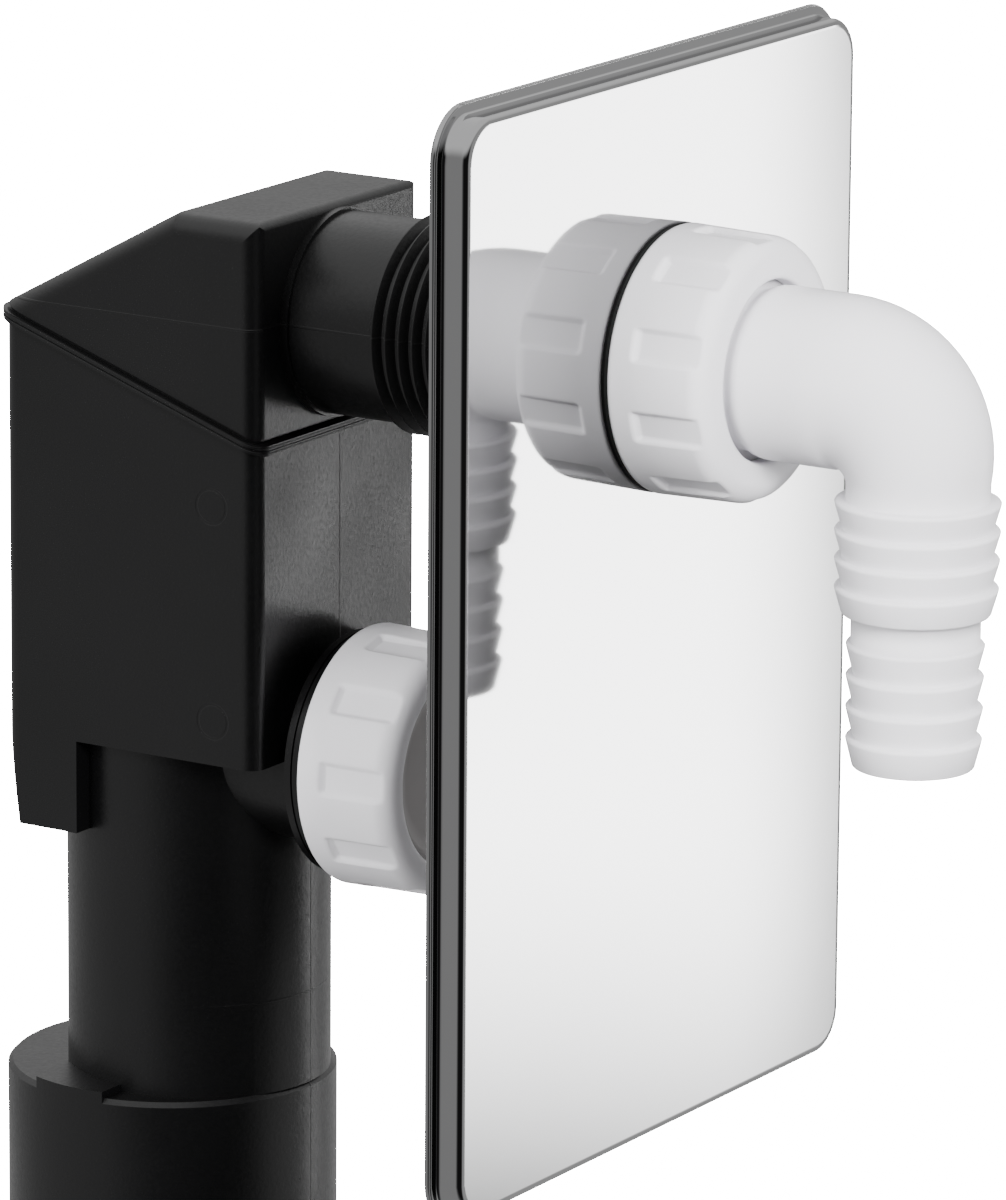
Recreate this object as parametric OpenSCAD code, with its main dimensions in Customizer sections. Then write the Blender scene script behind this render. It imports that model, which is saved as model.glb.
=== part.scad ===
// Concealed washing machine trap, set into a wall behind a stainless cover plate.
// Millimetres. The origin is the centre of the outlet spigot's lower end.
// +Z is up, -Y points out of the wall into the room, X is across the wall.

/* [Outlet pipe] */
// Outside diameter of the lower spigot
spigot_d = 50.2; // [48:0.1:52]
// Height of the lower spigot
spigot_h = 45; // [35:1:60]
// Outside diameter of the pipe between the spigot and the body
pipe_d = 40; // [38:0.5:42]
// Wall of the pipe
pipe_wall = 3; // [2.5:0.1:3.5]
// Wall of the spigot
spigot_wall = 2.8; // [2.5:0.1:3.5]

/* [Trap body] */
// Width of the body across the wall
body_w = 44; // [42:0.5:46]
// Depth of the body into the wall
body_depth = 45.2; // [44:0.1:46]
// How far the body's front lies in front of the outlet axis
body_front = 30; // [29:0.5:31]
// Height of the body's underside
floor_z = 99; // [96:0.5:102]
// Height of the underside of the deeper sump at the back
sump_z = 84.8; // [80:0.1:90]
// Depth of the sump
sump_depth = 13; // [11:0.5:14]
// Radius of the body's upright corners
corner_r = 2.5; // [1.5:0.1:3.5]
// Wall of the body and the hood
wall = 2.5; // [2:0.1:3]
// Height of the weld seam at the front
seam_z = 147.5; // [145:0.1:150]
// Rise of the seam for each millimetre towards the back
seam_rise = 0.34; // [0.3:0.01:0.38]
// Height of the hood's flat top
hood_z = 181; // [178:0.1:184]
// Depth of the hood's flat top
hood_flat = 15; // [12:0.5:18]
// Fall of the hood's roof for each millimetre towards the back
roof_fall = 0.545; // [0.5:0.005:0.56]

/* [Threaded sockets] */
// Height of the inlet's axis
inlet_z = 164.6; // [163:0.1:166]
// Height of the cleaning port's axis
port_z = 98; // [97:0.1:99]
// Diameter over the thread's crests
thread_d = 32.8; // [32:0.1:33.2]
// Diameter at the thread's roots
root_d = 30.2; // [29:0.1:30.6]
// Pitch of the thread
thread_pitch = 2.31; // [2:0.01:2.6]
// Plain length of the inlet socket before its thread
inlet_plain = 15.4; // [12:0.1:18]
// Bore of the inlet socket and the cleaning port
socket_bore = 24; // [22:0.5:25]
// Diameter of the flange on the cleaning port
flange_d = 36.8; // [35:0.1:38]

/* [Cover plate] */
// Width of the cover plate
plate_w = 110.5; // [105:0.5:120]
// Height of the cover plate
plate_h = 162.2; // [155:0.1:170]
// Depth of the pressed plate from the wall to its face
plate_depth = 5.2; // [4.5:0.1:6]
// Thickness of the plate's sheet
sheet = 0.8; // [0.6:0.1:1]
// Radius of the plate's outer corners
plate_corner = 8; // [7.5:0.5:10]
// Distance from the outlet axis to the face of the wall
wall_gap = 82.6; // [80:0.1:86]
// Sideways offset of the plate's centre from the inlet
plate_shift = -2.6; // [-4:0.1:4]
// Height of the plate's centre
plate_z = 128.1; // [127:0.1:129]

/* [Union nuts] */
// Outside diameter of the nuts
nut_d = 39.3; // [38.5:0.1:41]
// Length of the nuts
nut_len = 15.7; // [15:0.1:17]
// Thickness of the nut's front lip
nut_lip = 2.5; // [2:0.1:3]
// Number of grip recesses round a nut
grips = 10; // [8:1:12]
// Width of a grip recess
grip_w = 4.4; // [3.5:0.1:5]
// Depth of a grip recess
grip_depth = 1; // [0.6:0.1:1.2]

/* [Hose elbow] */
// Distance from the face of the wall to the hose tail's axis
tail_gap = 45.7; // [44:0.1:48]
// Outside diameter of the elbow's level leg
leg_d = 25.2; // [24:0.1:25.8]
// Outside diameter of the elbow's upright neck
neck_d = 20.7; // [20:0.1:21.5]
// Diameter over the upper barbs
upper_barb_d = 23.8; // [23:0.1:24.5]
// Diameter over the lower barbs
lower_barb_d = 19.9; // [19:0.1:20.5]
// Bore of the hose tail
tail_bore = 15.4; // [13:0.1:15.6]

/* [Hidden] */
$fn = 96;
tiny = 0.01;
far = 200;
black = [0.13, 0.13, 0.14];
white = [0.9, 0.9, 0.91];
steel = [0.78, 0.79, 0.8];

body_y0 = -body_front;
body_y1 = body_depth - body_front;
body_mid = (body_y0 + body_y1) / 2;
inner_w = body_w - 2 * wall;
inner_y0 = body_y0 + wall;
inner_y1 = body_y1 - wall;
spigot_r = spigot_d / 2;
pipe_r = pipe_d / 2;
pipe_y = -(spigot_r - pipe_r - 0.1);
spigot_bore_r = spigot_r - spigot_wall;
pipe_bore_r = pipe_r - pipe_wall;
shoulder_t = 3.4;
sump_y0 = body_y1 - sump_depth;
sump_taper_z = 103;
sump_taper = 2.6;

// The weld bead is two lips, one on each moulding, with a groove between them.
bead_out = 0.8;
bead_lip = 0.65;
bead_groove = 0.1;
crevice_h = 0.6;
crevice_d = 0.5;

// The water way: a tray and a dip wall in the hood, a weir in the body.
weir_y = -12;
weir_t = 2.5;
weir_z = 140;
dip_y = 0.5;
dip_t = 2.5;
dip_z = 110;
tray_z = 149.4;
tray_t = 1.8;
insert_gap = 0.3;
cheek_t = 1.5;

// A nut clamps a closure and its seal on a socket's end.
closure_t = 2.6;
seal_t = 1.4;
washer_t = 0.5;
nut_bore_d = thread_d + 0.2;
wall_y = -wall_gap;
plate_y = wall_y - plate_depth;
nut_y = plate_y - washer_t;
seat = nut_len - nut_lip;
socket_end = seat - closure_t - seal_t;
inlet_end = nut_y - socket_end;
cap_y = -35.6;
port_end = cap_y - socket_end;
port_root_d = 28.8;
flange_y = -32.6;
flange_t = 2.5;
root_ring_t = 1.2;
root_ring_out = 0.5;

// The plate's edge: a rolled rim, a groove and a raised tier with a rounded edge.
rim_r = 0.7;
tier_in = 1.7;
tier_edge_r = 0.9;
plate_hole_d = 34.4;

upper_grip_turn = 126.6;
lower_grip_turn = 105;
shoulder_r = 3;
elbow_mouth_d = 26.4;
cap_mouth_d = 29.4;

// The elbow's bend turns about bend_y, bend_z, in bend_steps rings of bend_sides.
tail_y = wall_y - tail_gap;
bend_y = -116.2;
bend_z = 151.5;
bend_steps = 10;
bend_sides = 40;
bend_bulge = 0.9;
bend_skin = 0.04;
bend_lap = 0.02;
bend_bore_d = 15;
leg_bore_d = 20;
barb_drop = 1.05;
upper_barb_z = 149.1;
upper_barb_pitch = 4.15;
upper_barbs = 4;
lower_barb_z = 128.3;
lower_barb_pitch = 4.6;
lower_barbs = 4;
waist_d = 18.6;

// Height of the seam plane at depth y
function seam_at(y) = seam_z + (y - body_y0) * seam_rise;

// A rectangle with round corners, centred
module round_rect(w, d, r) {
    square([w - 2 * r, d], center = true);
    square([w, d - 2 * r], center = true);
    for (sx = [-1, 1], sy = [-1, 1])
        translate([sx * (w / 2 - r), sy * (d / 2 - r)])
            circle(r);
}

// A side view, drawn as [y, z] points, given a width across the wall
module side_slab(width, points) {
    rotate([90, 0, 90])
        linear_extrude(width, center = true)
            polygon(points);
}

// Turns a shape drawn along +Z to run out of the wall at height z from depth y
module facing_room(y, z, turn = 0) {
    translate([0, y, z])
        rotate([90, 0, 0])
            rotate([0, 0, turn])
                children();
}

// The body's plan, grown by out, over the whole height
module body_plan(out = 0) {
    translate([0, body_mid, 0])
        linear_extrude(far)
            round_rect(body_w + 2 * out, body_depth + 2 * out, corner_r + out);
}

// A band that follows the seam, from low to high above it
module seam_band(low, high, out) {
    intersection() {
        body_plan(out);
        side_slab(far, [
            [-far, seam_at(-far) + low], [far, seam_at(far) + low],
            [far, seam_at(far) + high], [-far, seam_at(-far) + high]]);
    }
}

// Round ridges of a coarse thread on a tube, drawn along +Z
module threaded_tube(length, from) {
    turns = floor((length - from - 1) / thread_pitch);
    root_r = root_d / 2;
    crest_r = thread_d / 2;
    land = 0.2;
    flank = 0.85;
    ridge = [for (i = [0 : turns - 1], s = [0 : 3])
        [s == 0 || s == 3 ? root_r : crest_r,
         from + i * thread_pitch + (s < 2 ? s * flank : flank + land + (s - 2) * flank)]];
    rotate_extrude()
        polygon(concat([[socket_bore / 2, 0], [root_r, 0]], ridge,
            [[root_r, length - 0.6], [root_r - 0.6, length], [socket_bore / 2, length]]));
}

// Outside of the outlet: the wide spigot, the pipe on its front side, and two lugs
module outlet_outside() {
    edge = 0.7;
    rotate_extrude()
        polygon([[0, 0], [spigot_r, 0], [spigot_r, spigot_h - edge],
            [spigot_r - edge, spigot_h], [0, spigot_h]]);
    translate([0, pipe_y, spigot_h - tiny])
        cylinder(h = floor_z + wall - spigot_h, r = pipe_r);
    lug_y0 = -4.1;
    lug_y1 = 8.8;
    lug_h = 1.1;
    for (sx = [-1, 1])
        intersection() {
            translate([0, 0, spigot_h - edge])
                cylinder(h = lug_h + edge, r = spigot_r);
            translate([sx * spigot_r, (lug_y0 + lug_y1) / 2, spigot_h])
                cube([spigot_r, lug_y1 - lug_y0, 4 * lug_h], center = true);
        }
}

// The outlet's bores, which leave the sump standing in the pipe's back
module outlet_bores() {
    translate([0, 0, -1])
        cylinder(h = spigot_h - shoulder_t + 1, r = spigot_bore_r);
    difference() {
        translate([0, pipe_y, spigot_h - shoulder_t - tiny])
            cylinder(h = floor_z - spigot_h + shoulder_t + tiny, r = pipe_bore_r);
        translate([-body_w / 2, sump_y0, sump_z])
            cube([body_w, sump_depth, far]);
    }
    intersection() {
        translate([0, pipe_y, floor_z - 1])
            cylinder(h = wall + 2, r = pipe_bore_r);
        translate([-body_w / 2, body_y0, floor_z - 1])
            cube([body_w, weir_y - body_y0, wall + 2]);
    }
}

// Outside of the lower moulding, up to the seam
module body_outside() {
    intersection() {
        body_plan();
        side_slab(body_w + 2, [
            [body_y0 - 1, floor_z], [sump_y0, floor_z], [sump_y0, sump_z],
            [body_y1 - sump_taper, sump_z], [body_y1, sump_taper_z], [body_y1 + 1, sump_taper_z],
            [body_y1 + 1, seam_at(body_y1 + 1)], [body_y0 - 1, seam_at(body_y0 - 1)]]);
    }
    seam_band(-bead_groove - bead_lip, -bead_groove, bead_out);
}

// The chamber inside the lower moulding, with the sump below its back
module body_chamber() {
    side_slab(inner_w, [
        [inner_y0, floor_z + wall], [sump_y0 + wall, floor_z + wall],
        [sump_y0 + wall, sump_z + wall], [inner_y1 - sump_taper, sump_z + wall],
        [inner_y1, sump_taper_z], [inner_y1, seam_at(inner_y1) + 5], [inner_y0, seam_at(inner_y0) + 5]]);
}

// Flange of the cleaning port, with a fine groove round its edge
module port_flange() {
    groove_w = 0.3;
    groove_d = 0.5;
    facing_room(flange_y, port_z)
        difference() {
            cylinder(h = flange_t, d = flange_d);
            translate([0, 0, (flange_t - groove_w) / 2])
                difference() {
                    cylinder(h = groove_w, d = flange_d + 1);
                    translate([0, 0, -1])
                        cylinder(h = groove_w + 2, d = flange_d - 2 * groove_d);
                }
        }
}

module trap_body() {
    thread_y = flange_y - flange_t;
    color(black) {
        difference() {
            union() {
                body_outside();
                outlet_outside();
                facing_room(pipe_y, port_z)
                    cylinder(h = pipe_y - flange_y + 1, d = port_root_d);
                port_flange();
                facing_room(thread_y + 1, port_z)
                    threaded_tube(thread_y + 1 - port_end, 1.4);
            }
            body_chamber();
            outlet_bores();
            facing_room(weir_y - 1, port_z)
                cylinder(h = far, d = socket_bore);
        }
        translate([-inner_w / 2 - 1, weir_y, floor_z + tiny])
            cube([inner_w + 2, weir_t, weir_z - floor_z]);
    }
}

// Outside of the hood: three views cut from one another, so that each edge is round
module hood_outside() {
    edge = 3;
    front_edge = 1.2;
    ridge_y = body_y0 + hood_flat;
    slope = atan(roof_fall);
    intersection() {
        body_plan();
        // Above the seam and behind the rounded front edge
        rotate([90, 0, 90])
            linear_extrude(body_w + 2, center = true)
                difference() {
                    polygon([
                        [body_y0, seam_at(body_y0)], [body_y1, seam_at(body_y1)],
                        [body_y1, hood_z], [body_y0, hood_z]]);
                    translate([body_y0, hood_z - front_edge])
                        difference() {
                            translate([-1, 0])
                                square([front_edge + 1, front_edge + 1]);
                            translate([front_edge, 0])
                                circle(front_edge);
                        }
                }
        // Under the flat top, with round side edges
        translate([0, body_y1 + 1, hood_z / 2])
            rotate([90, 0, 0])
                linear_extrude(body_depth + 2)
                    round_rect(body_w, hood_z, edge);
        // Under the sloping roof, with round side edges
        translate([0, ridge_y, hood_z])
            rotate([-slope, 0, 0])
                translate([0, far / 2, -hood_z / 2])
                    rotate([90, 0, 0])
                        linear_extrude(far)
                            round_rect(body_w, hood_z, edge);
    }
    seam_band(bead_groove, bead_groove + bead_lip, bead_out);
}

// The crevice that the weld leaves between the hood's wall and its lip
module weld_crevice() {
    low = bead_groove + bead_lip;
    difference() {
        seam_band(low, low + crevice_h, 1);
        body_plan(-crevice_d);
    }
}

// The space inside the hood
module hood_space() {
    ridge_y = body_y0 + hood_flat - wall / 2;
    top = hood_z - wall;
    side_slab(inner_w, [
        [inner_y0, seam_at(inner_y0) - 5], [inner_y1, seam_at(inner_y1) - 5],
        [inner_y1, top - (inner_y1 - ridge_y) * roof_fall], [ridge_y, top], [inner_y0, top]]);
}

// The hood's inner tray, dip wall and side cheeks, which hang down into the body
module hood_insert() {
    insert_w = inner_w - 2 * insert_gap;
    back = dip_y + dip_t;
    translate([-insert_w / 2, inner_y0 - tiny, tray_z])
        cube([insert_w, back - inner_y0, tray_t]);
    translate([-insert_w / 2, dip_y, dip_z])
        cube([insert_w, dip_t, tray_z + tray_t - dip_z]);
    for (sx = [-1, 1]) {
        translate([sx * (insert_w - cheek_t) / 2, 0, 0])
            side_slab(cheek_t, [
                [inner_y0 - tiny, tray_z], [back, tray_z],
                [back, seam_at(back) + 4], [inner_y0 - tiny, seam_at(back) + 4]]);
        translate([sx * (inner_w - cheek_t + 1) / 2, 0, 0])
            side_slab(cheek_t + insert_gap, [
                [inner_y0 - tiny, seam_at(inner_y0)], [back, seam_at(back)],
                [back, seam_at(back) + 4], [inner_y0 - tiny, seam_at(back) + 4]]);
    }
}

module trap_hood() {
    stub_end = body_y0 - inlet_end;
    color(black)
        difference() {
            union() {
                difference() {
                    hood_outside();
                    hood_space();
                    weld_crevice();
                }
                hood_insert();
                facing_room(body_y0 + wall, inlet_z)
                    threaded_tube(stub_end + wall, inlet_plain + wall);
                facing_room(body_y0 + 1, inlet_z)
                    cylinder(h = root_ring_t + 1, d = root_d + 2 * root_ring_out);
            }
            facing_room(inner_y0 + 1, inlet_z)
                cylinder(h = far, d = socket_bore);
        }
}

// Section of the plate's edge: across is inwards from the rim, up is out of the wall
module plate_edge() {
    square([2 * rim_r, rim_r]);
    translate([rim_r, rim_r])
        circle(rim_r);
    translate([rim_r, rim_r - sheet / 2])
        square([tier_in + sheet - rim_r, sheet]);
    translate([tier_in, rim_r - sheet / 2])
        square([sheet, plate_depth - tier_edge_r - rim_r + sheet / 2]);
    intersection() {
        translate([tier_in + tier_edge_r, plate_depth - tier_edge_r])
            circle(tier_edge_r);
        translate([tier_in, plate_depth - tier_edge_r])
            square(tier_edge_r);
    }
    translate([tier_in + tier_edge_r - tiny, plate_depth - sheet])
        square([plate_corner - tier_in - tier_edge_r + tiny, sheet]);
}

// One side of the plate and the corner at its end
module plate_side(length, reach) {
    straight = length - 2 * plate_corner;
    translate([-straight / 2, -reach, 0])
        rotate([90, 0, 90])
            linear_extrude(straight)
                plate_edge();
    translate([straight / 2, -reach + plate_corner, 0])
        rotate([0, 0, -90])
            rotate_extrude(angle = 90)
                translate([plate_corner, 0])
                    mirror([1, 0])
                        plate_edge();
}

module cover_plate() {
    color(steel)
        difference() {
            translate([plate_shift, wall_y, plate_z])
                rotate([90, 0, 0]) {
                    for (turn = [0, 180]) {
                        rotate([0, 0, turn])
                            plate_side(plate_w, plate_h / 2);
                        rotate([0, 0, turn + 90])
                            plate_side(plate_h, plate_w / 2);
                    }
                    translate([0, 0, plate_depth - sheet / 2])
                        cube([plate_w - 2 * plate_corner + tiny, plate_h - 2 * plate_corner + tiny,
                            sheet], center = true);
                }
            facing_room(wall_y + 1, inlet_z)
                cylinder(h = plate_depth + 2, d = plate_hole_d);
        }
}

// A flat ring of rubber, drawn along +Z
module ring(outside, inside, thickness) {
    rotate_extrude()
        translate([inside / 2, 0])
            square([(outside - inside) / 2, thickness]);
}

module plate_washer() {
    color(black)
        facing_room(plate_y, inlet_z)
            ring(nut_d - 0.4, plate_hole_d + 0.2, washer_t);
}

// A union nut, drawn along +Z from its open back to its front lip
module nut(mouth_d) {
    out_r = nut_d / 2;
    front_r = out_r - 0.3;
    back_bevel = 0.35;
    mouth_bevel = 0.5;
    difference() {
        rotate_extrude()
            difference() {
                polygon([
                    [nut_bore_d / 2, 0], [out_r - back_bevel, 0], [out_r, back_bevel],
                    [front_r, nut_len - shoulder_r], [front_r, nut_len],
                    [mouth_d / 2 + mouth_bevel, nut_len], [mouth_d / 2, nut_len - mouth_bevel],
                    [mouth_d / 2, seat], [nut_bore_d / 2, seat]]);
                translate([front_r - shoulder_r, nut_len - shoulder_r])
                    difference() {
                        square(shoulder_r + 1);
                        circle(shoulder_r);
                    }
            }
        for (i = [0 : grips - 1])
            rotate([0, 0, i * 360 / grips])
                translate([out_r - grip_depth, -grip_w / 2, 4])
                    cube([5, grip_w, nut_len]);
    }
}

module union_nut() {
    color(white)
        facing_room(nut_y, inlet_z, upper_grip_turn)
            nut(elbow_mouth_d);
}

// One ring of the bend at angle a, an oval that just takes in the tube's own circle
function bend_ring(a) =
    let (s = a / 90,
         grow = 1 / cos(180 / bend_sides),
         near = (inlet_z - leg_d / 2 - bend_z) * (1 - s) + (bend_y - neck_d / 2 - tail_y) * s,
         reach = (inlet_z + leg_d / 2 - bend_z) * (1 - s) + (bend_y + neck_d / 2 - tail_y) * s
                + bend_bulge * sin(2 * a),
         half = (leg_d * (1 - s) + neck_d * s) / 2)
    [for (k = [0 : bend_sides - 1])
        let (t = 360 * k / bend_sides,
             d = (near + reach) / 2 + ((reach - near) / 2 * grow + bend_skin) * cos(t))
        [(half * grow + bend_skin) * sin(t), bend_y - d * sin(a), bend_z + d * cos(a)]];

// The elbow's bend, from the level leg down to the upright neck
module bend() {
    n = bend_sides;
    rings = [for (i = [0 : bend_steps]) bend_ring(90 * i / bend_steps)];
    points = [for (r = rings, p = r) p];
    sides = [for (i = [0 : bend_steps - 1], k = [0 : n - 1])
        [i * n + k, i * n + (k + 1) % n, (i + 1) * n + (k + 1) % n, (i + 1) * n + k]];
    first = [for (k = [n - 1 : -1 : 0]) k];
    last = [for (k = [0 : n - 1]) bend_steps * n + k];
    polyhedron(points, concat(sides, [first, last]), convexity = 4);
}

// A stack of saw-tooth barbs, drawn downwards from z, wide at the top of each tooth
module barbs(z, diameter, pitch, count) {
    lip = 0.35;
    r = diameter / 2;
    teeth = [for (i = [0 : count - 1], s = [0 : 2])
        [s == 2 ? r - barb_drop : r - (s == 0 ? lip : 0) - i * 0.05,
         z - i * pitch - (s == 0 ? 0 : s == 1 ? lip : pitch)]];
    translate([0, tail_y, 0])
        rotate_extrude()
            polygon(concat([[0, z]], teeth, [[0, z - count * pitch]]));
}

module hose_elbow() {
    leg_r = leg_d / 2;
    flange_r = nut_bore_d / 2 - 0.4;
    throat_r = leg_r - 0.9;
    mouth = nut_len - 1;
    leg_len = nut_y - bend_y;
    tail_end = lower_barb_z - lower_barbs * lower_barb_pitch;
    swell = mouth + 2.6;
    color(white)
        difference() {
            union() {
                facing_room(nut_y, inlet_z)
                    rotate_extrude()
                        polygon([
                            [0, seat - closure_t], [flange_r, seat - closure_t], [flange_r, seat],
                            [throat_r, seat], [throat_r, mouth], [leg_r - 0.3, mouth + 1.1],
                            [leg_r, swell], [leg_r, leg_len + bend_lap], [0, leg_len + bend_lap]]);
                bend();
                translate([0, tail_y, upper_barb_z - 1])
                    cylinder(h = bend_z - upper_barb_z + 1 + bend_lap, d = neck_d);
                barbs(upper_barb_z, upper_barb_d, upper_barb_pitch, upper_barbs);
                translate([0, tail_y, lower_barb_z - 1])
                    cylinder(h = upper_barb_z - lower_barb_z, d = waist_d);
                barbs(lower_barb_z, lower_barb_d, lower_barb_pitch, lower_barbs);
            }
            facing_room(nut_y, inlet_z)
                cylinder(h = leg_len - 1, d = leg_bore_d);
            translate([0, bend_y, bend_z])
                rotate([0, 0, 180])
                    rotate([90, 0, 90])
                        rotate_extrude(angle = 90)
                            translate([bend_y - tail_y, 0])
                                circle(d = bend_bore_d);
            translate([0, bend_y + 2, bend_z + bend_y - tail_y])
                rotate([90, 0, 0])
                    cylinder(h = 2.3, d = tail_bore);
            translate([0, tail_y, tail_end - 1])
                cylinder(h = bend_z - tail_end + 1.3, d = tail_bore);
        }
}

module elbow_seal() {
    color(black)
        facing_room(inlet_end, inlet_z)
            ring(thread_d - 1.4, socket_bore + 0.4, seal_t);
}

module cap_nut() {
    color(white)
        facing_room(cap_y, port_z, lower_grip_turn)
            nut(cap_mouth_d);
}

// The blanking disc, with a shallow raised centre that shows in the nut's mouth
module blank_disc() {
    boss = 0.8;
    color(white)
        facing_room(cap_y - seat + closure_t, port_z) {
            cylinder(h = closure_t, d = nut_bore_d - 0.8);
            cylinder(h = closure_t + boss, d = cap_mouth_d - 0.6);
        }
}

module blank_seal() {
    color(black)
        facing_room(port_end, port_z)
            ring(thread_d - 1.4, socket_bore + 0.4, seal_t);
}

trap_body();
trap_hood();
cover_plate();
plate_washer();
union_nut();
hose_elbow();
elbow_seal();
cap_nut();
blank_disc();
blank_seal();
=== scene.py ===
import math
import bmesh
import bpy
from mathutils import Matrix, Vector


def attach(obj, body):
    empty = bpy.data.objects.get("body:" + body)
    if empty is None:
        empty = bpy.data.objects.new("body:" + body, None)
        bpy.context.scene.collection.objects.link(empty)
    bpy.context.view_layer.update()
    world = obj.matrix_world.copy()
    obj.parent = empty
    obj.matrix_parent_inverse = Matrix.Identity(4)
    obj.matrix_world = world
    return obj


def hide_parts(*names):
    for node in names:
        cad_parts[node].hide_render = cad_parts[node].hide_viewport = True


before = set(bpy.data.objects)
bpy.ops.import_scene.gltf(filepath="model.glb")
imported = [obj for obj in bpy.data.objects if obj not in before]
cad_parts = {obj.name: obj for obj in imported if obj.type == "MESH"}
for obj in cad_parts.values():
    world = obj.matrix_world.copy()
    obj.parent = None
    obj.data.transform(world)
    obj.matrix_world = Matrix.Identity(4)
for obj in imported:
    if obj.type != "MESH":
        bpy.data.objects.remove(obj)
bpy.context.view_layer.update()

# Sizes are in millimetres, in the part's own frame, and become metres in finish_piece
MM = 0.001
INLET = (0, 0, 164.6)
PORT = (0, 0, 98.0)
PLATE_CENTRE = (-2.6, 0, 128.1)
WALL_Y = -82.6
PLATE_Y = -87.8
UNION_NUT_Y = -88.3
CAP_NUT_Y = -35.6
NUT_LENGTH = 15.7
NUT_SEAT = 13.2
TAIL_Y = -128.3
BEND_Y = -116.2
BEND_Z = 151.5


# Node material helpers

def new_material(name):
    mat = bpy.data.materials.new(name)
    mat.use_nodes = True
    mat.node_tree.nodes.clear()
    return mat


def add_node(tree, kind, **values):
    node = tree.nodes.new(kind)
    for key, value in values.items():
        if key in node.inputs:
            node.inputs[key].default_value = value
        else:
            setattr(node, key, value)
    return node


def math_node(tree, operation, a, b=None, c=None, clamp=False):
    node = tree.nodes.new("ShaderNodeMath")
    node.operation = operation
    node.use_clamp = clamp
    for i, value in enumerate((a, b, c)):
        if value is None:
            continue
        if isinstance(value, (int, float)):
            node.inputs[i].default_value = value
        else:
            tree.links.new(value, node.inputs[i])
    return node.outputs[0]


def soft_step(tree, value, low, high):
    node = tree.nodes.new("ShaderNodeMapRange")
    node.interpolation_type = "SMOOTHSTEP"
    node.inputs["From Min"].default_value = low
    node.inputs["From Max"].default_value = high
    tree.links.new(value, node.inputs["Value"])
    return node.outputs["Result"]


def object_coordinates(tree):
    """Object coordinates and their three parts, in metres"""
    coords = tree.nodes.new("ShaderNodeTexCoord")
    parts = tree.nodes.new("ShaderNodeSeparateXYZ")
    tree.links.new(coords.outputs["Object"], parts.inputs[0])
    return coords.outputs["Object"], parts.outputs["X"], parts.outputs["Y"], parts.outputs["Z"]


def new_group(name, inputs, outputs):
    group = bpy.data.node_groups.new(name, "ShaderNodeTree")
    for label, kind, value in inputs:
        socket = group.interface.new_socket(label, in_out="INPUT", socket_type=kind)
        if value is not None:
            socket.default_value = value
    for label, kind in outputs:
        group.interface.new_socket(label, in_out="OUTPUT", socket_type=kind)
    return group, group.nodes.new("NodeGroupInput"), group.nodes.new("NodeGroupOutput")


def make_moulded_skin():
    """The fine orange peel, broad flow marks and uneven gloss of a moulded surface"""
    group, ins, outs = new_group(
        "moulded_skin",
        [("Vector", "NodeSocketVector", None),
         ("Peel Size", "NodeSocketFloat", 900.0),
         ("Peel Depth", "NodeSocketFloat", 0.5),
         ("Flow Depth", "NodeSocketFloat", 0.5),
         ("Gloss Low", "NodeSocketFloat", 0.3),
         ("Gloss High", "NodeSocketFloat", 0.4)],
        [("Height", "NodeSocketFloat"), ("Roughness", "NodeSocketFloat"), ("Tone", "NodeSocketFloat")])
    links = group.links
    peel = add_node(group, "ShaderNodeTexNoise", Detail=2.0, Roughness=0.55)
    links.new(ins.outputs["Vector"], peel.inputs["Vector"])
    links.new(ins.outputs["Peel Size"], peel.inputs["Scale"])
    flow = add_node(group, "ShaderNodeTexNoise", Scale=38.0, Detail=3.0, Roughness=0.5)
    links.new(ins.outputs["Vector"], flow.inputs["Vector"])
    peel_height = math_node(group, "MULTIPLY", peel.outputs["Fac"], ins.outputs["Peel Depth"])
    flow_height = math_node(group, "MULTIPLY", flow.outputs["Fac"], ins.outputs["Flow Depth"])
    links.new(math_node(group, "ADD", peel_height, flow_height), outs.inputs["Height"])
    gloss = group.nodes.new("ShaderNodeMapRange")
    gloss.inputs["From Min"].default_value = 0.3
    gloss.inputs["From Max"].default_value = 0.7
    blend = math_node(group, "ADD", math_node(group, "MULTIPLY", peel.outputs["Fac"], 0.5),
                      math_node(group, "MULTIPLY", flow.outputs["Fac"], 0.5))
    links.new(blend, gloss.inputs["Value"])
    links.new(ins.outputs["Gloss Low"], gloss.inputs["To Min"])
    links.new(ins.outputs["Gloss High"], gloss.inputs["To Max"])
    links.new(gloss.outputs["Result"], outs.inputs["Roughness"])
    links.new(flow.outputs["Fac"], outs.inputs["Tone"])
    return group


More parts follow.
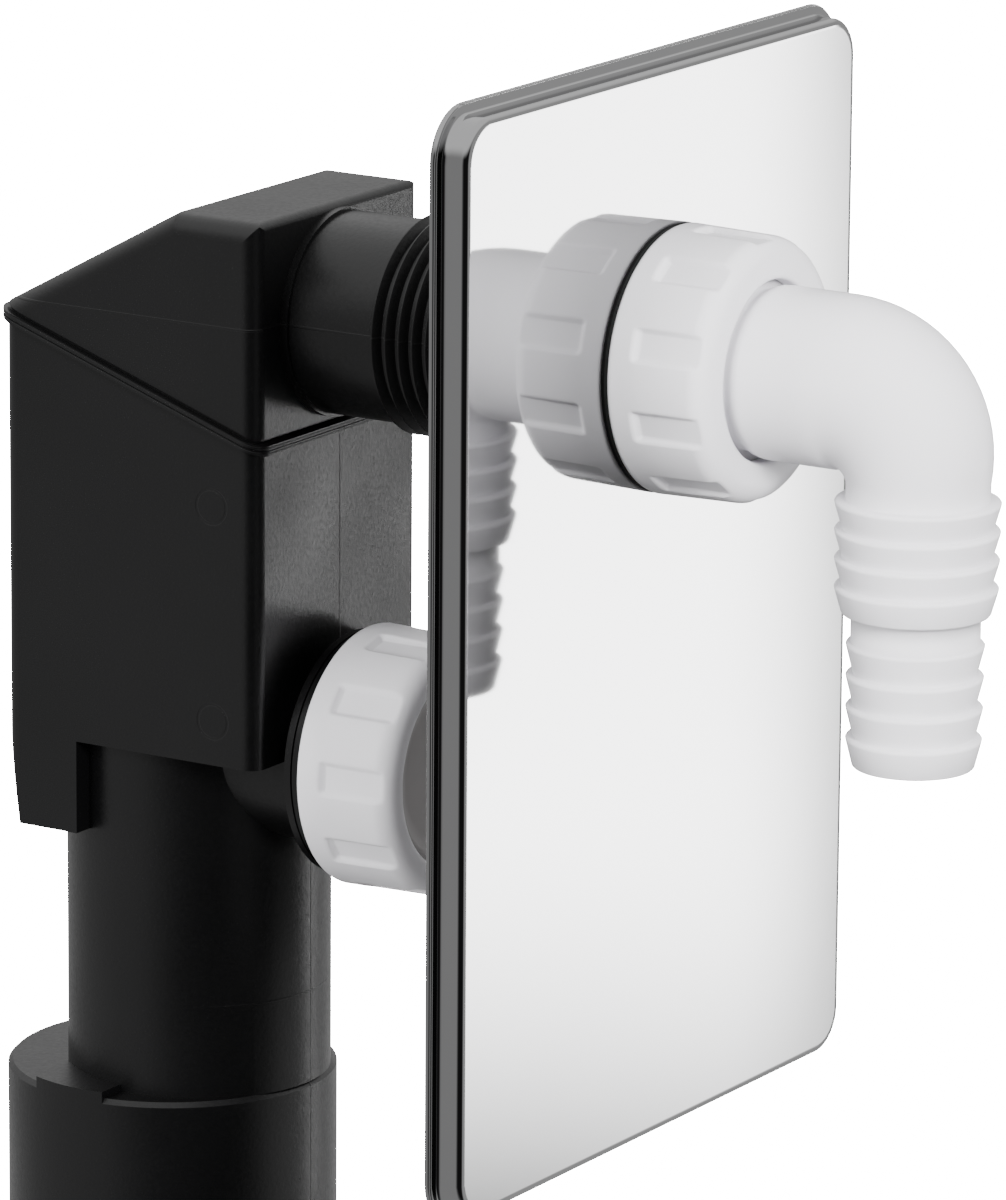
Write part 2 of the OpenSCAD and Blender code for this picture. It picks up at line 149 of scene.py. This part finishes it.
def make_black_plastic(name, skin, marks=None):
    """Black moulded plastic with fine marks that a function may add as height"""
    mat = new_material(name)
    tree = mat.node_tree
    links = tree.links
    vector, x, y, z = object_coordinates(tree)
    group = tree.nodes.new("ShaderNodeGroup")
    group.node_tree = skin
    group.inputs["Peel Size"].default_value = 1500.0
    group.inputs["Peel Depth"].default_value = 1.0
    group.inputs["Flow Depth"].default_value = 1.2
    group.inputs["Gloss Low"].default_value = 0.27
    group.inputs["Gloss High"].default_value = 0.43
    links.new(vector, group.inputs["Vector"])
    height = group.outputs["Height"]
    if marks:
        height = math_node(tree, "ADD", height, marks(tree, x, y, z))
    bump = add_node(tree, "ShaderNodeBump", Strength=0.5, Distance=0.00005)
    links.new(height, bump.inputs["Height"])
    tone = add_node(tree, "ShaderNodeMix", data_type="RGBA")
    tone.inputs["A"].default_value = (0.0015, 0.0015, 0.0016, 1)
    tone.inputs["B"].default_value = (0.0028, 0.0028, 0.003, 1)
    links.new(group.outputs["Tone"], tone.inputs["Factor"])
    shader = add_node(tree, "ShaderNodeBsdfPrincipled", IOR=1.47)
    links.new(tone.outputs["Result"], shader.inputs["Base Color"])
    links.new(group.outputs["Roughness"], shader.inputs["Roughness"])
    links.new(bump.outputs["Normal"], shader.inputs["Normal"])
    out = tree.nodes.new("ShaderNodeOutputMaterial")
    links.new(shader.outputs["BSDF"], out.inputs["Surface"])
    return mat


def line_mark(tree, value, at, half_width):
    """1 on the line where value is at, falling to 0 at half_width from it"""
    away = math_node(tree, "ABSOLUTE", math_node(tree, "SUBTRACT", value, at * MM))
    return math_node(tree, "SUBTRACT", 1.0, soft_step(tree, away, half_width * MM * 0.4, half_width * MM))


def ring_mark(tree, a, b, centre, radius, half_width):
    """1 on a circle in the plane of a and b"""
    da = math_node(tree, "SUBTRACT", a, centre[0] * MM)
    db = math_node(tree, "SUBTRACT", b, centre[1] * MM)
    squares = math_node(tree, "ADD", math_node(tree, "MULTIPLY", da, da), math_node(tree, "MULTIPLY", db, db))
    return line_mark(tree, math_node(tree, "SQRT", squares), radius, half_width)


def body_marks(tree, x, y, z):
    """Ejector rings on the left side, and the mould's parting lines on the front and the pipe"""
    left = soft_step(tree, math_node(tree, "MULTIPLY", x, -1.0), 0.0214, 0.0217)
    rings = math_node(tree, "ADD", ring_mark(tree, y, z, (-22.2, 138.2), 2.6, 0.28),
                      ring_mark(tree, y, z, (-22.4, 105.7), 2.6, 0.28))
    rings = math_node(tree, "MULTIPLY", rings, left)
    front = soft_step(tree, math_node(tree, "MULTIPLY", y, -1.0), 0.015, 0.020)
    parting = math_node(tree, "MULTIPLY", line_mark(tree, x, 0.45, 0.22), front)
    pipe_front = math_node(tree, "MULTIPLY", line_mark(tree, z, 59.3, 0.2), front)
    lines = math_node(tree, "ADD", parting, math_node(tree, "MULTIPLY", pipe_front, 0.5))
    return math_node(tree, "SUBTRACT", math_node(tree, "MULTIPLY", lines, 2.2),
                     math_node(tree, "MULTIPLY", rings, 2.0))


def hood_marks(tree, x, y, z):
    """The parting line round the hood and along the inlet socket"""
    return math_node(tree, "MULTIPLY", line_mark(tree, z, 165.2, 0.22), 2.0)


def make_white_plastic(name, skin, colour):
    mat = new_material(name)
    tree = mat.node_tree
    links = tree.links
    vector, x, y, z = object_coordinates(tree)
    group = tree.nodes.new("ShaderNodeGroup")
    group.node_tree = skin
    group.inputs["Peel Size"].default_value = 700.0
    group.inputs["Peel Depth"].default_value = 0.25
    group.inputs["Flow Depth"].default_value = 1.0
    group.inputs["Gloss Low"].default_value = 0.3
    group.inputs["Gloss High"].default_value = 0.38
    links.new(vector, group.inputs["Vector"])
    bump = add_node(tree, "ShaderNodeBump", Strength=0.25, Distance=0.00005)
    links.new(group.outputs["Height"], bump.inputs["Height"])
    tone = add_node(tree, "ShaderNodeMix", data_type="RGBA")
    tone.inputs["A"].default_value = (*[c * 0.97 for c in colour], 1)
    tone.inputs["B"].default_value = (*colour, 1)
    links.new(group.outputs["Tone"], tone.inputs["Factor"])
    shader = add_node(tree, "ShaderNodeBsdfPrincipled", IOR=1.49)
    shader.inputs["Subsurface Weight"].default_value = 0.25
    shader.inputs["Subsurface Radius"].default_value = (1.0, 0.95, 1.0)
    shader.inputs["Subsurface Scale"].default_value = 0.0015
    links.new(tone.outputs["Result"], shader.inputs["Base Color"])
    links.new(group.outputs["Roughness"], shader.inputs["Roughness"])
    links.new(bump.outputs["Normal"], shader.inputs["Normal"])
    out = tree.nodes.new("ShaderNodeOutputMaterial")
    links.new(shader.outputs["BSDF"], out.inputs["Surface"])
    return mat


def make_polished_steel(name):
    """Mirror-polished stainless sheet with the slow waves of a pressing and a trace of polishing haze"""
    mat = new_material(name)
    tree = mat.node_tree
    links = tree.links
    vector, x, y, z = object_coordinates(tree)
    waves = add_node(tree, "ShaderNodeTexNoise", Scale=14.0, Detail=1.0, Roughness=0.4)
    links.new(vector, waves.inputs["Vector"])
    bump = add_node(tree, "ShaderNodeBump", Strength=0.06, Distance=0.0006)
    links.new(waves.outputs["Fac"], bump.inputs["Height"])
    haze = add_node(tree, "ShaderNodeTexNoise", Scale=60.0, Detail=4.0, Roughness=0.6)
    links.new(vector, haze.inputs["Vector"])
    gloss = tree.nodes.new("ShaderNodeMapRange")
    gloss.inputs["To Min"].default_value = 0.03
    gloss.inputs["To Max"].default_value = 0.06
    links.new(haze.outputs["Fac"], gloss.inputs["Value"])
    tone = add_node(tree, "ShaderNodeMix", data_type="RGBA")
    tone.inputs["A"].default_value = (0.33, 0.33, 0.335, 1)
    tone.inputs["B"].default_value = (0.35, 0.35, 0.35, 1)
    links.new(haze.outputs["Fac"], tone.inputs["Factor"])
    shader = add_node(tree, "ShaderNodeBsdfPrincipled", Metallic=1.0)
    links.new(tone.outputs["Result"], shader.inputs["Base Color"])
    links.new(gloss.outputs["Result"], shader.inputs["Roughness"])
    links.new(bump.outputs["Normal"], shader.inputs["Normal"])
    out = tree.nodes.new("ShaderNodeOutputMaterial")
    links.new(shader.outputs["BSDF"], out.inputs["Surface"])
    return mat


def make_black_rubber(name, skin):
    mat = new_material(name)
    tree = mat.node_tree
    links = tree.links
    vector, x, y, z = object_coordinates(tree)
    group = tree.nodes.new("ShaderNodeGroup")
    group.node_tree = skin
    group.inputs["Peel Size"].default_value = 2500.0
    group.inputs["Gloss Low"].default_value = 0.55
    group.inputs["Gloss High"].default_value = 0.7
    links.new(vector, group.inputs["Vector"])
    bump = add_node(tree, "ShaderNodeBump", Strength=0.4, Distance=0.00004)
    links.new(group.outputs["Height"], bump.inputs["Height"])
    tone = add_node(tree, "ShaderNodeMix", data_type="RGBA")
    tone.inputs["A"].default_value = (0.006, 0.006, 0.006, 1)
    tone.inputs["B"].default_value = (0.012, 0.012, 0.012, 1)
    links.new(group.outputs["Tone"], tone.inputs["Factor"])
    shader = add_node(tree, "ShaderNodeBsdfPrincipled", IOR=1.45)
    links.new(tone.outputs["Result"], shader.inputs["Base Color"])
    links.new(group.outputs["Roughness"], shader.inputs["Roughness"])
    links.new(bump.outputs["Normal"], shader.inputs["Normal"])
    out = tree.nodes.new("ShaderNodeOutputMaterial")
    links.new(shader.outputs["BSDF"], out.inputs["Surface"])
    return mat


# Mesh helpers

def finish_piece(name, bm, material, stands_for=(), flats=False):
    """Closes the mesh, scales it to metres and puts it in the scene on the root body"""
    bmesh.ops.remove_doubles(bm, verts=bm.verts, dist=0.0005)
    bmesh.ops.recalc_face_normals(bm, faces=bm.faces)
    bmesh.ops.scale(bm, vec=(MM, MM, MM), verts=bm.verts)
    mesh = bpy.data.meshes.new(name)
    bm.to_mesh(mesh)
    bm.free()
    mesh.materials.append(material)
    for face in mesh.polygons:
        face.use_smooth = True
    piece = bpy.data.objects.new(name, mesh)
    bpy.context.collection.objects.link(piece)
    if flats:
        weighted = piece.modifiers.new("flat faces stay flat", "WEIGHTED_NORMAL")
        weighted.mode = "FACE_AREA"
        weighted.weight = 100
    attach(piece, "root")
    if stands_for:
        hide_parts(*stands_for)
    return piece


def arc(centre, radius, start, end, steps):
    """Points on an arc as (along, radius) pairs, angles in degrees"""
    return [(centre[0] + radius * math.sin(math.radians(start + (end - start) * i / steps)),
             centre[1] + radius * math.cos(math.radians(start + (end - start) * i / steps)))
            for i in range(steps + 1)]


def spread(points, step):
    """The same outline with no two neighbours further apart than step"""
    fine = []
    for a, b in zip(points, points[1:]):
        count = max(1, math.ceil(math.dist(a, b) / step))
        fine += [(a[0] + (b[0] - a[0]) * i / count, a[1] + (b[1] - a[1]) * i / count) for i in range(count)]
    return fine + [points[-1]]


def facing_room(y, axis):
    """Takes a shape turned about +Z to one that runs out of the wall from depth y"""
    return Matrix.Translation((axis[0], y, axis[2])) @ Matrix.Rotation(math.radians(90), 4, "X")


def turned(profile, steps, place):
    """A closed outline of (along, radius) points spun into a ring"""
    bm = bmesh.new()
    verts = [bm.verts.new((radius, 0, along)) for along, radius in profile]
    edges = [bm.edges.new((a, b)) for a, b in zip(verts, verts[1:] + verts[:1])]
    bmesh.ops.spin(bm, geom=verts + edges, cent=(0, 0, 0), axis=(0, 0, 1), angle=math.radians(360),
                   steps=steps, use_merge=True)
    bmesh.ops.remove_doubles(bm, verts=bm.verts, dist=0.0005)
    bmesh.ops.transform(bm, matrix=place, verts=bm.verts)
    return bm


def ring_loop(bm, steps, shape):
    """A closed loop of edges: a unit circle whose points shape() then puts in place"""
    made = bmesh.ops.create_circle(bm, cap_ends=False, radius=1.0, segments=steps)
    for vert in made["verts"]:
        vert.co = shape(vert.co)
    return list({edge for vert in made["verts"] for edge in vert.link_edges})


def bridge(bm, loops, close=False):
    pairs = list(zip(loops, loops[1:])) + ([(loops[-1], loops[0])] if close else [])
    for a, b in pairs:
        bmesh.ops.bridge_loops(bm, edges=a + b)


def rounded(unit, half_w, half_h, radius):
    """A point of the unit circle moved to a rectangle with round corners"""
    return (unit.x * radius + math.copysign(half_w - radius, unit.x),
            unit.y * radius + math.copysign(half_h - radius, unit.y))


# Pieces

def make_plate(material):
    """Pressed plate: rolled rim, cove and raised tier, with a hole for the inlet"""
    half_w, half_h, corner = 55.25, 81.1, 8.0
    depth, sheet = 5.2, 0.8
    edge = 0.95
    front = [(1.15, 0.0), (0.55, 0.0)]
    front += [(0.6 - 0.6 * math.sin(math.radians(a)), 0.62 - 0.62 * math.cos(math.radians(a)))
              for a in range(15, 181, 15)]
    front += [(1.0, 1.28), (1.35, 1.34), (1.58, 1.5), (1.68, 1.75), (1.72, 2.1), (1.75, 2.6)]
    front += [(1.75, depth - edge - 0.3)]
    front += [(1.75 + edge - edge * math.cos(math.radians(a)), depth - edge + edge * math.sin(math.radians(a)))
              for a in range(0, 91, 10)]
    front += [(3.1, depth), (7.0, depth)]
    back = [(7.0, depth - sheet), (3.0, depth - sheet), (2.7, depth - sheet - 0.15), (2.55, depth - sheet - 0.4),
            (2.55, 1.0), (2.4, 0.75), (2.1, 0.62), (1.5, 0.6)]
    steps = 96
    bm = bmesh.new()

    def outline(inset, out):
        def place(unit):
            a, b = rounded(unit, half_w - inset, half_h - inset, max(corner - inset, 0.6))
            return Vector((PLATE_CENTRE[0] + a, WALL_Y - out, PLATE_CENTRE[2] + b))
        return ring_loop(bm, steps, place)

    def hole(radius, out):
        def place(unit):
            return Vector((unit.x * radius, WALL_Y - out, INLET[2] + unit.y * radius))
        return ring_loop(bm, steps, place)

    loops = [outline(*point) for point in front] + [hole(18.6, depth), hole(17.4, depth), hole(17.2, depth - 0.2),
                                               hole(17.2, depth - sheet + 0.2), hole(17.4, depth - sheet),
                                               hole(18.6, depth - sheet)]
    loops += [outline(*point) for point in back]
    bridge(bm, loops, close=True)
    return finish_piece("cover_plate_pressing", bm, material, ("cover_plate",), flats=True)


def make_nut(name, y, axis, turn, mouth, material, node):
    """Union nut with soft-edged grip recesses that run out into its round shoulder"""
    out_r, front_r, shoulder = 19.65, 19.35, 3.0
    recess, half_recess = 1.0, 2.25
    outer = [(0.0, 16.6), (0.0, out_r - 0.35), (0.1, out_r - 0.1), (0.35, out_r)]
    outer += [(NUT_LENGTH - shoulder, front_r)]
    outer += arc((NUT_LENGTH - shoulder, front_r - shoulder), shoulder, 5, 90, 12)
    outer += [(NUT_LENGTH, mouth + 0.6), (NUT_LENGTH - 0.12, mouth + 0.2), (NUT_LENGTH - 0.5, mouth)]
    outer += [(NUT_SEAT, mouth), (NUT_SEAT, 16.6)]
    profile = spread(outer, 0.4)
    bm = turned(profile, 400, Matrix.Identity(4))
    for vert in bm.verts:
        r = math.hypot(vert.co.x, vert.co.y)
        if r < 17.5 or vert.co.z < 3.0:
            continue
        angle = math.degrees(math.atan2(vert.co.y, vert.co.x)) - turn
        off = math.radians((angle + 18) % 36 - 18)
        floor_r = (out_r - recess) / math.cos(off)
        if r <= floor_r:
            continue
        side = half_recess - abs(r * math.sin(off))
        across = min(1.0, max(0.0, side / 0.45 + 0.5))
        along = min(1.0, max(0.0, (vert.co.z - 3.75) / 0.5))
        across = across * across * (3 - 2 * across)
        along = along * along * (3 - 2 * along)
        new_r = r + (floor_r - r) * across * along
        vert.co.x *= new_r / r
        vert.co.y *= new_r / r
    bmesh.ops.transform(bm, matrix=facing_room(y, axis), verts=bm.verts)
    return finish_piece(name, bm, material, (node,))


def make_elbow(material):
    """Hose elbow in one skin: flange, level leg, bend, two stacks of barbs and the bore"""
    steps = 72
    leg_r, neck_r = 12.6, 10.35
    bm = bmesh.new()

    def level(y, radius):
        return ring_loop(bm, steps, lambda unit: Vector((unit.x * radius, y, INLET[2] + unit.y * radius)))

    def upright(z, radius):
        return ring_loop(bm, steps, lambda unit: Vector((unit.x * radius, TAIL_Y - unit.y * radius, z)))

    def bent(angle, thin=None):
        s = angle / 90
        near = (INLET[2] - leg_r - BEND_Z) * (1 - s) + (BEND_Y - neck_r - TAIL_Y) * s
        reach = ((INLET[2] + leg_r - BEND_Z) * (1 - s) + (BEND_Y + neck_r - TAIL_Y) * s
                 + 0.9 * math.sin(math.radians(2 * angle)))
        half = leg_r * (1 - s) + neck_r * s
        if thin:
            near, reach, half = 12.1 - thin, 12.1 + thin, thin
        sin, cos = math.sin(math.radians(angle)), math.cos(math.radians(angle))

        def place(unit):
            d = (near + reach) / 2 + (reach - near) / 2 * unit.y
            return Vector((unit.x * half, BEND_Y - d * sin, BEND_Z + d * cos))
        return ring_loop(bm, steps, place)

    flange_y = UNION_NUT_Y - NUT_SEAT
    mouth_y = UNION_NUT_Y - NUT_LENGTH + 1
    loops = [level(flange_y + 2.6, 10.0), level(flange_y + 2.6, 16.0), level(flange_y + 2.5, 16.1),
             level(flange_y + 0.02, 16.1), level(flange_y + 0.01, 11.75), level(mouth_y, 11.75),
             level(mouth_y - 0.5, 11.95), level(mouth_y - 1.1, 12.3), level(mouth_y - 1.8, 12.5),
             level(mouth_y - 2.6, leg_r), level(mouth_y - 6.0, leg_r), level(BEND_Y + 2.0, leg_r)]
    loops += [bent(angle) for angle in range(0, 91, 5)]
    loops += [upright(150.2, neck_r), upright(149.3, neck_r)]
    for top, first_r, pitch, count in ((149.1, 11.9, 4.15, 4), (128.3, 9.95, 4.6, 4)):
        root = neck_r if count == 4 and first_r > 11 else 9.3
        for i in range(count):
            z = top - pitch * i
            r = first_r - 0.05 * i
            loops += [upright(z + 0.02, root if i == 0 else r - 1.0), upright(z, r - 0.45),
                      upright(z - 0.12, r - 0.16), upright(z - 0.35, r), upright(z - 0.7, r - 0.07),
                      upright(z - pitch + 0.3, r - 0.98)]
        last = top - pitch * count
        r = first_r - 0.05 * (count - 1)
        if first_r > 11:
            loops += [upright(last + 0.05, r - 1.15), upright(last, r - 1.6), upright(last, 9.3)]
        else:
            loops += [upright(last + 0.12, r - 1.15), upright(last + 0.02, r - 1.5), upright(last, r - 1.9),
                      upright(last, 7.9), upright(last + 0.3, 7.7)]
    loops += [upright(140.0, 7.6), upright(BEND_Z + 0.4, 7.5)]
    loops += [bent(angle, thin=7.5) for angle in range(80, 9, -10)]
    loops += [level(BEND_Y + 1.0, 7.7), level(BEND_Y + 1.2, 10.0)]
    bridge(bm, loops, close=True)
    return finish_piece("hose_elbow_moulding", bm, material, ("hose_elbow",))


def make_weld_bead(material):
    """The double bead where the hood is welded to the body: two round lips with a groove between"""
    half_w, half_d, corner = 22.0, 22.6, 2.5
    middle_y = -7.4
    steps = 96
    section = [(-0.3, 0.72), (0.1, 0.76), (0.5, 0.78), (0.74, 0.68), (0.84, 0.48), (0.82, 0.28), (0.68, 0.12),
               (0.42, 0.0), (0.68, -0.12), (0.82, -0.28), (0.84, -0.48), (0.74, -0.68), (0.5, -0.78),
               (0.1, -0.76), (-0.3, -0.72)]
    bm = bmesh.new()

    def lip(out, rise):
        def place(unit):
            a, b = rounded(unit, half_w + out, half_d + out, corner + out)
            y = middle_y + b
            return Vector((a, y, 147.5 + (y + 30) * 0.34 + rise))
        return ring_loop(bm, steps, place)

    bridge(bm, [lip(*point) for point in section], close=True)
    return finish_piece("weld_bead", bm, material)


def make_blank(material):
    """Blanking disc that shows in the lower nut's mouth, with a slightly dished face"""
    profile = [(0.0, 0.0), (0.0, 16.1), (2.6, 16.1), (2.6, 14.6), (3.1, 14.5), (3.3, 14.2), (3.38, 13.6),
               (3.3, 12.9), (3.1, 12.4), (3.0, 11.0), (3.0, 4.0), (3.0, 0.0)]
    bm = bmesh.new()
    verts = [bm.verts.new((radius, 0, along)) for along, radius in profile]
    edges = [bm.edges.new((a, b)) for a, b in zip(verts, verts[1:])]
    bmesh.ops.spin(bm, geom=verts + edges, cent=(0, 0, 0), axis=(0, 0, 1), angle=math.radians(360),
                   steps=96, use_merge=True)
    bmesh.ops.transform(bm, matrix=facing_room(CAP_NUT_Y - NUT_SEAT + 2.6, PORT), verts=bm.verts)
    return finish_piece("blank_disc_moulding", bm, material, ("blank_disc",))


def paint_node(name, material):
    """Gives a CAD node its finished material"""
    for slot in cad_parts[name].material_slots:
        slot.material = material


skin = make_moulded_skin()
body_plastic = make_black_plastic("body_black_plastic", skin, body_marks)
hood_plastic = make_black_plastic("hood_black_plastic", skin, hood_marks)
bead_plastic = make_black_plastic("bead_black_plastic", skin)
nut_plastic = make_white_plastic("nut_white_plastic", skin, (0.80, 0.79, 0.82))
elbow_plastic = make_white_plastic("elbow_white_plastic", skin, (0.82, 0.81, 0.84))
# The blanking disc is the same white plastic as the nuts; its darker grey colour is painted shade for the shadow
# inside the cap nut's mouth
disc_shaded_white_plastic = make_white_plastic("disc_white_plastic_painted_shade", skin, (0.42, 0.40, 0.40))
steel = make_polished_steel("mirror_polished_steel")
rubber = make_black_rubber("seal_rubber", skin)

paint_node("trap_body", body_plastic)
paint_node("trap_hood", hood_plastic)
for seal in ("plate_washer", "elbow_seal", "blank_seal"):
    paint_node(seal, rubber)

make_plate(steel)
make_nut("union_nut_moulding", UNION_NUT_Y, INLET, 126.6, 13.2, nut_plastic, "union_nut")
make_nut("cap_nut_moulding", CAP_NUT_Y, PORT, 105.0, 14.7, nut_plastic, "cap_nut")
make_elbow(elbow_plastic)
make_blank(disc_shaded_white_plastic)
make_weld_bead(bead_plastic)


# Camera at the photograph's place, found from the plate's outline and the round collars

def add_camera():
    azimuth, elevation, roll = (math.radians(a) for a in (-57.85, 13.98, 0.43))
    back = Vector((math.sin(azimuth) * math.cos(elevation), -math.cos(azimuth) * math.cos(elevation),
                   math.sin(elevation)))
    right = (-back).cross(Vector((0, 0, 1))).normalized()
    up = right.cross(-back)
    across = math.cos(roll) * right + math.sin(roll) * up
    upright = -math.sin(roll) * right + math.cos(roll) * up
    target = Vector((-2.64, -82.6, 128.1))
    place = (target - 18.62 * across + 0.43 * upright + 1199.57 * back) * MM
    data = bpy.data.cameras.new("photo_camera")
    data.sensor_fit = "VERTICAL"
    data.sensor_height = 36.0
    data.lens = 8280.23 / 1200 * 36.0
    data.clip_start = 0.05
    data.clip_end = 20.0
    camera = bpy.data.objects.new("photo_camera", data)
    camera.matrix_world = Matrix((
        (across.x, upright.x, back.x, place.x), (across.y, upright.y, back.y, place.y),
        (across.z, upright.z, back.z, place.z), (0, 0, 0, 1)))
    bpy.context.collection.objects.link(camera)
    bpy.context.scene.camera = camera


def add_softbox(name, place, aim, size, power, mirrored=True):
    data = bpy.data.lights.new(name, "AREA")
    data.shape = "RECTANGLE"
    data.size, data.size_y = size
    data.energy = power
    light = bpy.data.objects.new(name, data)
    light.location = place
    direction = Vector(aim) - Vector(place)
    light.rotation_euler = direction.to_track_quat("-Z", "Y").to_euler()
    light.visible_glossy = mirrored
    bpy.context.collection.objects.link(light)


def direction_band(tree, value, low, high, fade):
    """1 between low and high, with edges that fade over fade"""
    rise = soft_step(tree, value, low - fade, low)
    fall = soft_step(tree, value, high, high + fade)
    return math_node(tree, "MULTIPLY", rise, math_node(tree, "SUBTRACT", 1.0, fall))


def direction_along(tree, vector, axis):
    dot = tree.nodes.new("ShaderNodeVectorMath")
    dot.operation = "DOT_PRODUCT"
    dot.inputs[1].default_value = Vector(axis).normalized()
    tree.links.new(vector, dot.inputs[0])
    return dot.outputs["Value"]


def level_mix(tree, mask, base, level):
    """base where mask is 0 and level where it is 1"""
    mix = tree.nodes.new("ShaderNodeMix")
    tree.links.new(mask, mix.inputs["Factor"])
    for socket, value in (("A", base), ("B", level)):
        if isinstance(value, (int, float)):
            mix.inputs[socket].default_value = value
        else:
            tree.links.new(value, mix.inputs[socket])
    return mix.outputs["Result"]


def add_world():
    """White backdrop, even soft light, and the cards and dark room that polished faces mirror"""
    world = bpy.data.worlds.new("studio")
    bpy.context.scene.world = world
    world.use_nodes = True
    tree = world.node_tree
    tree.nodes.clear()
    links = tree.links
    coords = tree.nodes.new("ShaderNodeTexCoord")
    vector = coords.outputs["Generated"]
    height = direction_along(tree, vector, (0, 0, 1))
    ahead = direction_along(tree, vector, (0.866, -0.5, 0))
    aside = direction_along(tree, vector, (0.5, 0.866, 0))
    room_side = direction_along(tree, vector, (-0.45, -0.89, 0))

    level = level_mix(tree, soft_step(tree, room_side, 0.1, 0.75), 0.5, 0.02)
    level = level_mix(tree, soft_step(tree, height, 0.15, 0.6), level, 1.3)
    side_card = math_node(tree, "MULTIPLY", soft_step(tree, ahead, 0.4, 0.8),
                          direction_band(tree, height, -0.5, 0.2, 0.2))
    level = level_mix(tree, side_card, level, 0.7)
    bright_card = math_node(tree, "MULTIPLY", direction_band(tree, aside, -0.055, -0.010, 0.022),
                            direction_band(tree, height, -0.262, -0.17, 0.062))
    bright_card = math_node(tree, "MULTIPLY", bright_card, soft_step(tree, ahead, 0.5, 0.6))
    level = level_mix(tree, bright_card, level, 14.5)

    seen = tree.nodes.new("ShaderNodeLightPath")
    soft = level_mix(tree, soft_step(tree, height, -0.7, 0.6), 0.35, 1.5)
    strength = level_mix(tree, seen.outputs["Is Diffuse Ray"], level, soft)
    strength = level_mix(tree, seen.outputs["Is Camera Ray"], strength, 30.0)
    background = add_node(tree, "ShaderNodeBackground", Color=(1, 1, 1, 1))
    links.new(strength, background.inputs["Strength"])
    out = tree.nodes.new("ShaderNodeOutputWorld")
    links.new(background.outputs["Background"], out.inputs["Surface"])


def add_floor():
    """Pale floor well below the part, white to the camera like the backdrop"""
    bm = bmesh.new()
    bmesh.ops.create_grid(bm, x_segments=1, y_segments=1, size=4.0)
    bmesh.ops.translate(bm, vec=(0, 0, -0.3), verts=bm.verts)
    mesh = bpy.data.meshes.new("studio_floor")
    bm.to_mesh(mesh)
    bm.free()
    material = new_material("pale_floor")
    tree = material.node_tree
    links = tree.links
    matt = add_node(tree, "ShaderNodeBsdfPrincipled", Roughness=0.9)
    matt.inputs["Base Color"].default_value = (0.85, 0.85, 0.85, 1)
    glow = add_node(tree, "ShaderNodeEmission", Color=(1, 1, 1, 1), Strength=30.0)
    seen = tree.nodes.new("ShaderNodeLightPath")
    mix = tree.nodes.new("ShaderNodeMixShader")
    links.new(seen.outputs["Is Camera Ray"], mix.inputs[0])
    links.new(matt.outputs["BSDF"], mix.inputs[1])
    links.new(glow.outputs["Emission"], mix.inputs[2])
    out = tree.nodes.new("ShaderNodeOutputMaterial")
    links.new(mix.outputs["Shader"], out.inputs["Surface"])
    mesh.materials.append(material)
    floor = bpy.data.objects.new("studio_floor", mesh)
    floor.visible_glossy = False
    floor.visible_diffuse = False
    bpy.context.collection.objects.link(floor)


def add_studio():
    add_world()
    add_softbox("key_light", (-1.0, -1.5, 0.9), (0, -0.06, 0.12), (0.5, 0.5), 75.0, mirrored=False)
    add_softbox("side_light", (-1.7, 0.4, 0.5), (0, -0.06, 0.12), (0.6, 0.6), 30.0, mirrored=False)
    add_floor()


add_camera()
add_studio()
